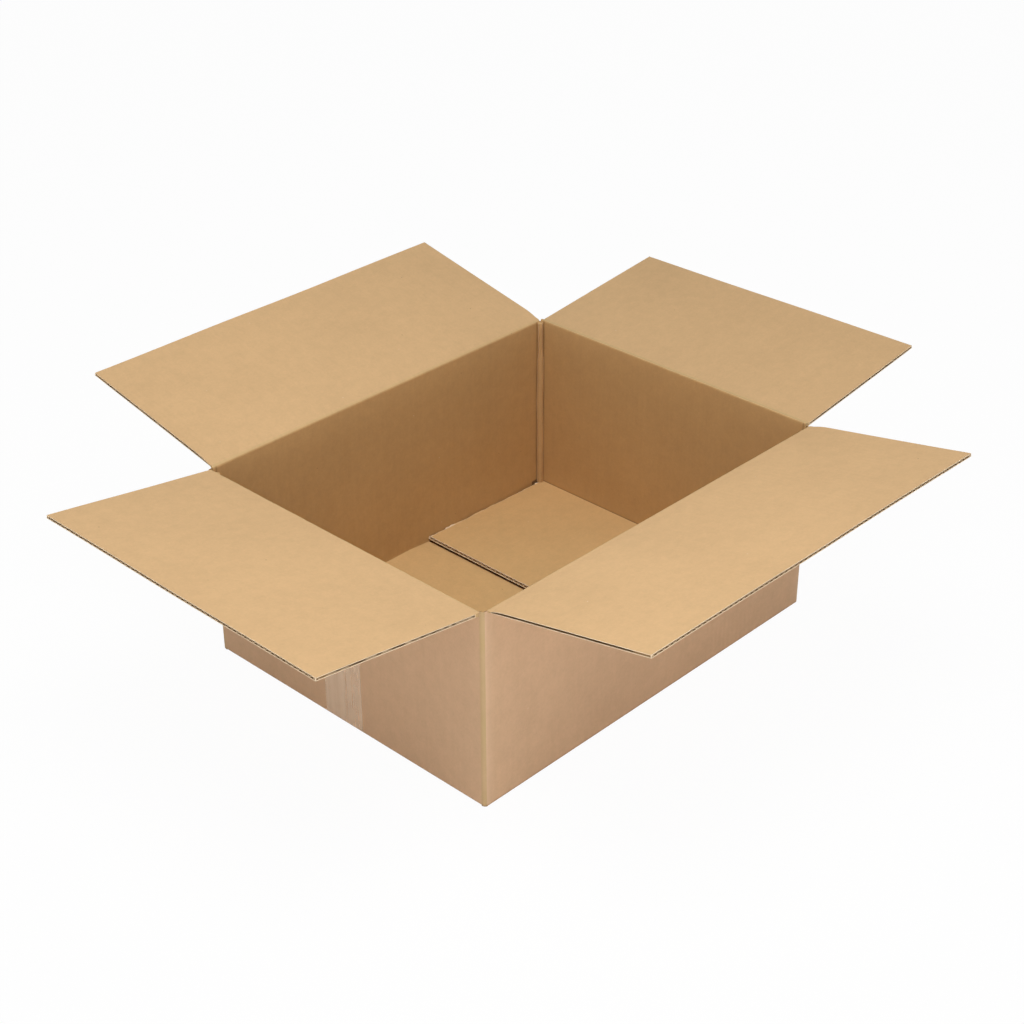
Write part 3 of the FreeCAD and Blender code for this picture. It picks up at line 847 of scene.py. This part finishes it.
def cut_glued_lap():
    """Lap inside the front wall beside the right corner, with its ends cut at a slant."""
    right = HALF_LENGTH - BOARD
    left = right - 0.034
    wall = -HALF_WIDTH + BOARD
    low = INNER_BASE_LEVEL + BOARD + 0.006
    high = COLUMN_TOP - 0.006
    lap = start_block("glued_lap", (left, wall - 0.0002, low), (right - 0.0002, wall + BOARD, high))
    open_up(lap)
    pick(lap, "VERT", lambda v: v.x < left + 1e-5 and v.z > high - 1e-5)
    slide((0, 0, -0.008))
    pick(lap, "VERT", lambda v: v.x < left + 1e-5 and v.z < low + 1e-5)
    slide((0, 0, 0.008))
    cut(lap, 2, even_steps(low + 0.008, high - 0.008, 0.012))
    pick(lap, "EDGE", lambda c, d: c.y > wall + BOARD - 1e-5 and abs(c.x - left) < 1e-5)
    bpy.ops.mesh.bevel(offset=0.0004, segments=2, affect="EDGES")
    put_down()
    finish_faces(lap, ("inner_liner", "cut_edge"),
                 lambda c, n: "inner_liner" if n.y > 0.5 else "cut_edge")
    map_board(lap, lambda spot, face: (spot.x, spot.z))
    round_off(lap)
    return lap


def wave_medium(name, length, depth, height):
    """One strip of fluting: a single wave is bent up, then repeated along the edge."""
    put_down()
    count = int((length - 2 * LINER) / FLUTE_PITCH)
    bpy.ops.mesh.primitive_plane_add(size=1, location=(0, 0, 0))
    wave = bpy.context.object
    wave.name = wave.data.name = name
    wave.scale = (FLUTE_PITCH, depth, 1)
    bpy.ops.object.transform_apply(location=True, rotation=True, scale=True)
    open_up(wave)
    cut(wave, 0, even_steps(-FLUTE_PITCH / 2, FLUTE_PITCH / 2, FLUTE_PITCH / 12))
    put_down()
    swing = (height - 2 * EDGE_LIP - 0.00045) / 2
    for vertex in wave.data.vertices:
        turn = 2 * math.pi * vertex.co.x / FLUTE_PITCH
        vertex.co.z = swing * math.tanh(1.5 * math.cos(turn)) / math.tanh(1.5)
    finish_with(wave, "ARRAY", count=count, use_relative_offset=False, use_constant_offset=True,
                constant_offset_displace=(FLUTE_PITCH, 0, 0), use_merge_vertices=True, merge_threshold=1e-5)
    finish_with(wave, "SOLIDIFY", thickness=0.00045, offset=0.0)
    start = -(count - 1) * FLUTE_PITCH / 2
    for vertex in wave.data.vertices:
        vertex.co.x += start
    finish_faces(wave, ("flute_medium",), lambda c, n: "flute_medium")
    map_board(wave, lambda spot, face: (spot.x, spot.y))
    round_off(wave, 50)
    return wave


def flutes_of_bottom_flap(side):
    """Fluting in the free edge of an inner bottom flap."""
    strip = wave_medium("bottom_flap_flutes", 2 * INNER_SIDE, 0.013, BOARD)
    free_x = HALF_LENGTH - BOTTOM_DEPTH
    middle = Vector((side * (free_x + 0.0077), 0, INNER_BASE_LEVEL + INNER_LIFT + BOARD / 2 - 0.00006))
    turn = Matrix.Rotation(math.radians(90), 4, "Z")
    set_in_place(strip, Matrix.Translation(middle) @ turn)
    return strip


# Top flaps.

def crease_frame(side):
    """Crease coordinates to the carton's: along the crease, out along the flap, through the board."""
    flap = FLAPS[side]
    angle = math.radians(flap["angle"])
    out, up, along = Vector(flap["out"]), Vector((0, 0, 1)), Vector(flap["along"])
    run = out * math.sin(angle) + up * math.cos(angle)
    through = up * math.sin(angle) - out * math.cos(angle)
    pivot = out * (flap["half"] + PIVOT_OUT) + up * flap["height"]
    matrix = Matrix((along, run, through)).transposed().to_4x4()
    matrix.translation = pivot
    return matrix


def lean(side, spot):
    """How far a point of a flap stands off the flat, from the flap's own twist and bow."""
    flap = FLAPS[side]
    length = flap["end"] - flap["start"]
    world = spot.x * (1 if sum(flap["along"]) > 0 else -1)
    twist = -spot.y * math.tan(math.radians(flap["twist"])) * world / length
    share = min(1.0, max(0.0, spot.y / FLAP_DEPTH))
    return twist + wander((spot.x, spot.y, 0), 0.16, 0.0012, sum(map(ord, side))) * share


def cut_top_flap(side):
    """One top flap: board with open flutes at its free edge and a ragged channel down each end."""
    flap = FLAPS[side]
    start, end = flap["start"], flap["end"]
    low, high = PIVOT_OUT, PIVOT_OUT + BOARD
    panel = start_block(side + "_flap_board", (start, CREASE_BAND, low), (end, FLAP_DEPTH, high))
    open_up(panel)
    cut(panel, 0, even_steps(start, end, 0.018))
    cut(panel, 1, even_steps(CREASE_BAND, FLAP_DEPTH, 0.018) + [0.0075, 0.0115, 0.0165])
    pick(panel, "FACE", lambda c, n: n.y > 0.9)
    bpy.ops.mesh.inset(thickness=EDGE_LIP, use_boundary=True, use_even_offset=True)
    push((0, -FLAP_POCKET, 0))
    for edge, way in ((start, 1), (end, -1)):
        pick(panel, "FACE", lambda c, n: n.x * way < -0.9 and abs(c.x - edge) < 1e-5 and c.y > 0.004)
        bpy.ops.mesh.inset(thickness=EDGE_LIP, use_boundary=True, use_even_offset=True)
        push((way * END_CHANNEL, 0, 0))
    put_down()

    def liner_of(middle, normal):
        within = low + EDGE_LIP / 2 < middle.z < high - EDGE_LIP / 2
        behind_edges = start + 0.0003 < middle.x < end - 0.0003 and middle.y < FLAP_DEPTH - 0.001
        # Pocket and channel faces inside the edges get painted shade.
        if within and (abs(normal.z) > 0.8 or behind_edges):
            return "painted_pocket_shade"
        if normal.z > 0.8:
            return "inner_liner"
        return "outer_liner" if normal.z < -0.8 else "cut_edge"

    finish_faces(panel, ("inner_liner", "outer_liner", "cut_edge", "painted_pocket_shade"), liner_of)
    for vertex in panel.data.vertices:
        near = max(0.0, 1.0 - (vertex.co.y - CREASE_BAND) / 0.014)
        vertex.co.z = low + (vertex.co.z - low) * (1 - flap["sunk"] / BOARD * near ** 1.5)
        vertex.co.z += lean(side, vertex.co)
    map_board(panel, lambda spot, face: (spot.x, spot.y))
    set_in_place(panel, crease_frame(side))
    round_off(panel, 35)
    return panel


def flutes_of_flap(side):
    flap = FLAPS[side]
    strip = wave_medium(side + "_flap_flutes", flap["end"] - flap["start"], 0.017, BOARD)
    middle = (flap["start"] + flap["end"]) / 2
    for vertex in strip.data.vertices:
        vertex.co.x += middle
        vertex.co.y += FLAP_DEPTH - 0.0087
        vertex.co.z += PIVOT_OUT + BOARD / 2 + lean(side, Vector((vertex.co.x, FLAP_DEPTH, 0)))
    set_in_place(strip, crease_frame(side))
    return strip


def crease_section(side):
    """Section of the crushed board at a crease, in (outward, up) from the top of the wall's outer face."""
    angle = math.radians(FLAPS[side]["angle"])
    run = Vector((math.sin(angle), math.cos(angle)))
    through = Vector((-math.cos(angle), math.sin(angle)))
    pivot = Vector((PIVOT_OUT, 0))

    def on_flap(by, deep):
        return pivot + run * by + through * (PIVOT_OUT + deep)

    band = CREASE_BAND
    outside = [Vector((0, -band)), Vector((0, -band * 0.6)), Vector((0, -band * 0.3)),
               Vector((0.00012, -0.0003)), on_flap(band * 0.3, 0), on_flap(band * 0.6, 0), on_flap(band, 0)]
    top = on_flap(0, BOARD)
    reach = (-BOARD - top.x) / run.x
    corner = top + run * reach
    ridge, sunk = FLAPS[side]["ridge"], FLAPS[side]["sunk"]
    wall_start = corner + Vector((0, ridge * 0.6 - 0.0024 - sunk * 1.2))
    flap_end = corner + run * min(0.0026 + ridge + sunk, 0.0051) - through * sunk
    corner = corner + Vector((0, ridge - sunk))
    pull = 0.8 - sunk * 100
    crest = []
    for step in range(1, 12):
        t = step / 12
        pull_a = wall_start.lerp(corner, pull)
        pull_b = flap_end.lerp(corner, pull)
        point = (wall_start * (1 - t) ** 3 + pull_a * 3 * t * (1 - t) ** 2
                 + pull_b * 3 * t * t * (1 - t) + flap_end * t ** 3)
        crest.append(point)
    inside = [on_flap(band, BOARD - sunk), on_flap(band * 0.72, BOARD - sunk - 0.00005), flap_end]
    inside += crest[::-1]
    inside += [wall_start, Vector((-BOARD - 0.00003, -band * 0.72)), Vector((-BOARD - 0.00003, -band))]
    return outside + inside


def press_crease(side):
    """The crease itself: crushed board that bends between the wall and its flap."""
    flap = FLAPS[side]
    section = crease_section(side)
    put_down()
    bpy.ops.mesh.primitive_circle_add(vertices=len(section), radius=0.004, fill_type="NGON")
    band = bpy.context.object
    band.name = band.data.name = side + "_crease_band"
    start, end = flap["start"] + 0.0001, flap["end"] - 0.0001
    along, out = Vector(flap["along"]), Vector(flap["out"])
    edge = out * flap["half"] + Vector((0, 0, flap["height"]))
    for vertex, point in zip(band.data.vertices, section):
        vertex.co = edge + along * start + out * point.x + Vector((0, 0, point.y))
    open_up(band)
    bpy.ops.mesh.select_mode(type="FACE")
    bpy.ops.mesh.select_all(action="SELECT")
    steps = 60
    for step in range(steps):
        push(along * (end - start) / steps)
    bpy.ops.mesh.select_all(action="SELECT")
    bpy.ops.mesh.normals_make_consistent(inside=False)
    put_down()
    run = crease_frame(side).to_3x3().col[1]
    for vertex in band.data.vertices:
        spot = vertex.co - edge
        inward = spot.z - spot.dot(out)
        share = max(0.0, min(1.0, (inward - 0.001) / 0.004))
        where = spot.dot(along)
        uneven = wander((where, 0, 0), 0.022, 0.00030, 11) + wander((where, 1, spot.z), 0.005, 0.00018, 13)
        vertex.co += (Vector((0, 0, 1)) - out).normalized() * uneven * share
        twist = lean(side, Vector((where, CREASE_BAND, 0)))
        reach = max(0.0, min(1.0, (vertex.co - edge).dot(run) / CREASE_BAND))
        vertex.co.z += twist * reach

    def liner_of(middle, normal):
        spot = middle - edge
        if normal.dot(out) - normal.z > 0.3:
            return "outer_liner"
        if spot.dot(out) < 0.0006 - BOARD:
            return "shaded_inside_liner"
        return "inner_liner" if spot.dot(run) > flap["ridge"] else "crease_band"

    finish_faces(band, ("crease_band", "outer_liner", "inner_liner", "shaded_inside_liner"), liner_of)
    map_board(band, lambda spot, face: (spot.dot(along), spot.z + spot.dot(out)))
    round_off(band, 60)
    angle = math.radians(flap["angle"])
    through = Vector((0, 0, 1)) * math.sin(angle) - out * math.cos(angle)
    begin = edge - out * 0.0015 - Vector((0, 0, 0.0026))
    finish = edge + run * 0.0032 + through * 0.0015
    return band, begin, finish


# Stage, lamps and camera.

def lay_floor():
    put_down()
    bpy.ops.mesh.primitive_plane_add(size=14, location=(0, 0, 0))
    floor = bpy.context.object
    floor.name = "pale_floor"
    material = bpy.data.materials.new("pale_floor")
    material.use_nodes = True
    tree = material.node_tree
    shader = tree.nodes["Principled BSDF"]
    feed(shader, {"Base Color": (0.93, 0.93, 0.93, 1), "Roughness": 0.9, "Specular IOR Level": 0.1})
    glow = add_node(tree, "ShaderNodeEmission", (0, -300))
    feed(glow, {"Color": (1, 1, 1, 1), "Strength": 1.0})
    path = add_node(tree, "ShaderNodeLightPath", (-400, 300))
    seen = work_out(tree, "MULTIPLY", path.outputs["Is Camera Ray"], 0.965, (-150, 300))
    mix = add_node(tree, "ShaderNodeMixShader", (250, 0))
    tree.links.new(seen, mix.inputs[0])
    tree.links.new(shader.outputs[0], mix.inputs[1])
    tree.links.new(glow.outputs[0], mix.inputs[2])
    tree.links.new(mix.outputs[0], tree.nodes["Material Output"].inputs["Surface"])
    floor.data.materials.append(material)


def hang_lamps():
    world = bpy.data.worlds.new("studio_air")
    bpy.context.scene.world = world
    world.use_nodes = True
    tree = world.node_tree
    soft = tree.nodes["Background"]
    feed(soft, {"Color": (1, 1, 1, 1)})
    way = add_node(tree, "ShaderNodeTexCoord", (-900, -300)).outputs["Generated"]
    split = add_node(tree, "ShaderNodeSeparateXYZ", (-700, -300))
    tree.links.new(way, split.inputs["Vector"])
    low = spread(tree, split.outputs["Z"], 0.0, 0.12, 4.0, 0.33, (-500, -300))
    sides = spread(tree, split.outputs["Y"], -1.0, 1.0, 1.2, 0.85, (-500, -500))
    ends = spread(tree, split.outputs["X"], -1.0, 1.0, 1.12, 0.90, (-500, -700))
    level = work_out(tree, "MULTIPLY", low, sides, (-250, -400))
    tree.links.new(work_out(tree, "MULTIPLY", level, ends, (-100, -500)), soft.inputs["Strength"])
    seen = add_node(tree, "ShaderNodeBackground", (0, -200))
    feed(seen, {"Color": (1, 1, 1, 1), "Strength": 1.0})
    path = add_node(tree, "ShaderNodeLightPath", (-600, 300))
    glossy = work_out(tree, "MAXIMUM", path.outputs["Is Camera Ray"], path.outputs["Is Glossy Ray"],
                      (-400, 300))
    either = work_out(tree, "MAXIMUM", glossy, path.outputs["Is Transmission Ray"], (-200, 300))
    mix = add_node(tree, "ShaderNodeMixShader", (250, 0))
    tree.links.new(either, mix.inputs[0])
    tree.links.new(soft.outputs[0], mix.inputs[1])
    tree.links.new(seen.outputs[0], mix.inputs[2])
    tree.links.new(mix.outputs[0], tree.nodes["World Output"].inputs["Surface"])
    put_down()
    for name, place, aim, size, energy in (
            ("overhead_softbox", (-0.27, -0.22, 1.22), (-0.1, -0.1, 0.1), 0.75, 9.2),
            ("low_fill_softbox", (-0.90, -1.35, 0.12), (-0.1, -0.1, 0.02), 0.5, 4.0)):
        bpy.ops.object.light_add(type="AREA", location=place)
        lamp = bpy.context.object
        lamp.name = name
        lamp.data.shape = "SQUARE"
        lamp.data.size = size
        lamp.data.energy = energy
        lamp.rotation_euler = (Vector(place) - Vector(aim)).to_track_quat("Z", "Y").to_euler()


def set_camera():
    """The photograph's view, from the fit of the carton's edges."""
    azimuth, elevation, roll = math.radians(-46.24), math.radians(30.40), math.radians(-0.19)
    back = Vector((math.sin(azimuth) * math.cos(elevation), -math.cos(azimuth) * math.cos(elevation),
                   math.sin(elevation)))
    right = Vector((0, 0, 1)).cross(back).normalized()
    up = back.cross(right)
    turned_right = right * math.cos(roll) + up * math.sin(roll)
    turned_up = up * math.cos(roll) - right * math.sin(roll)
    place = Vector((0, 0, 0.097)) + back * 1.8218 + turned_right * -0.00329 + turned_up * 0.02489
    data = bpy.data.cameras.new("photo_view")
    data.lens = 1943.7 * 36.0 / 1024.0
    data.sensor_width = 36.0
    data.clip_start = 0.05
    camera = bpy.data.objects.new("photo_view", data)
    bpy.context.collection.objects.link(camera)
    matrix = Matrix((turned_right, turned_up, back)).transposed().to_4x4()
    matrix.translation = place
    camera.matrix_world = matrix
    bpy.context.scene.camera = camera


# Making it all.

set_camera()

blank = fold_the_blank()
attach(blank, "carton")
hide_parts("box_body")

rolls = [roll_the_corner(x, y) for x in (-1, 1) for y in (-1, 1)]
rolls = join_up(rolls, "corner_rolls")
lap = cut_glued_lap()
bottom_flutes = join_up([flutes_of_bottom_flap(-1), flutes_of_bottom_flap(1)], "bottom_flap_flutes")
bottom_chips = chips_of_bottom_flap()
for piece in (rolls, lap, bottom_flutes, bottom_chips):
    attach(piece, "carton")

for side in FLAPS:
    panel = cut_top_flap(side)
    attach(panel, side + "_top_flap")
    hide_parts(side + "_top_flap")
    flutes = flutes_of_flap(side)
    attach(flutes, side + "_top_flap")
    at_start, at_end = FLAPS[side]["torn"]
    torn = [torn_edge_of_flap(side, True, at_start, 41), torn_edge_of_flap(side, False, at_end, 47)]
    torn = join_up(torn, side + "_flap_torn_fluting")
    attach(torn, side + "_top_flap")
    band, begin, finish = press_crease(side)
    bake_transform(band)

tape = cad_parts["bottom_tape"]
tape.data.materials.clear()
tape.data.materials.append(FINISHES["seam_tape"])

lay_floor()
hang_lamps()
bpy.context.scene.view_settings.view_transform = "Standard"
put_down()
